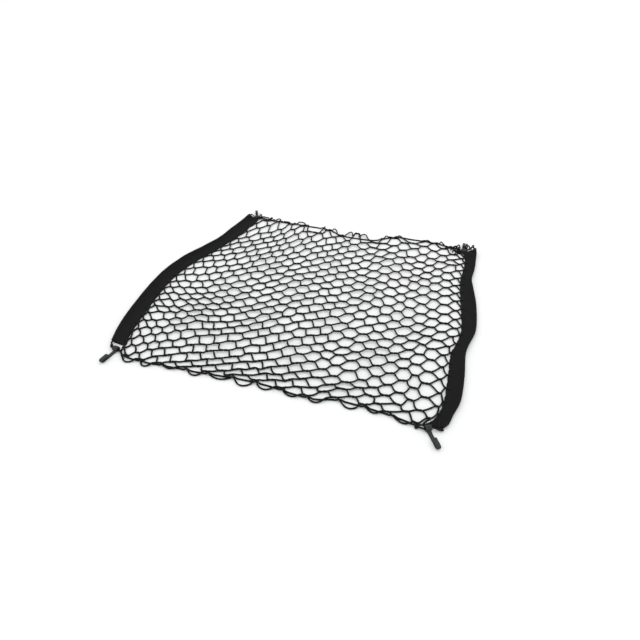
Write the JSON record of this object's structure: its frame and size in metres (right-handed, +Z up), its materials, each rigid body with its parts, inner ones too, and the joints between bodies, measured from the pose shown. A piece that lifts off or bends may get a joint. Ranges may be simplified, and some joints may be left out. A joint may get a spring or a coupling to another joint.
{
  "type": "cargo net",
  "caption": "Black hexagonal-mesh cargo net laid flat, with woven sleeve bands down both sides, elastic cord along the other edges and a plastic hook at each corner.",
  "frame": {"origin": "on the surface the net lies on, under the middle of its box", "axes": "+X to the right along the near edge, +Y away from the viewer along the sleeve bands, +Z up"},
  "size_m": [0.8764, 0.8644, 0.0158],
  "materials": {
    "twine": "black knitted synthetic twine, slightly shiny",
    "tape": "black woven tape, matte",
    "elastic": "black braided elastic cord",
    "plastic": "dark grey moulded plastic, satin"
  },
  "bodies": {
    "root": {"net": "twine", "sleeve_left": "tape", "sleeve_right": "tape", "cord_near": "elastic", "cord_far": "elastic", "hook_near_left": "plastic", "hook_near_right": "plastic", "hook_far_left": "plastic", "hook_far_right": "plastic"}
  },
  "joints": []
}
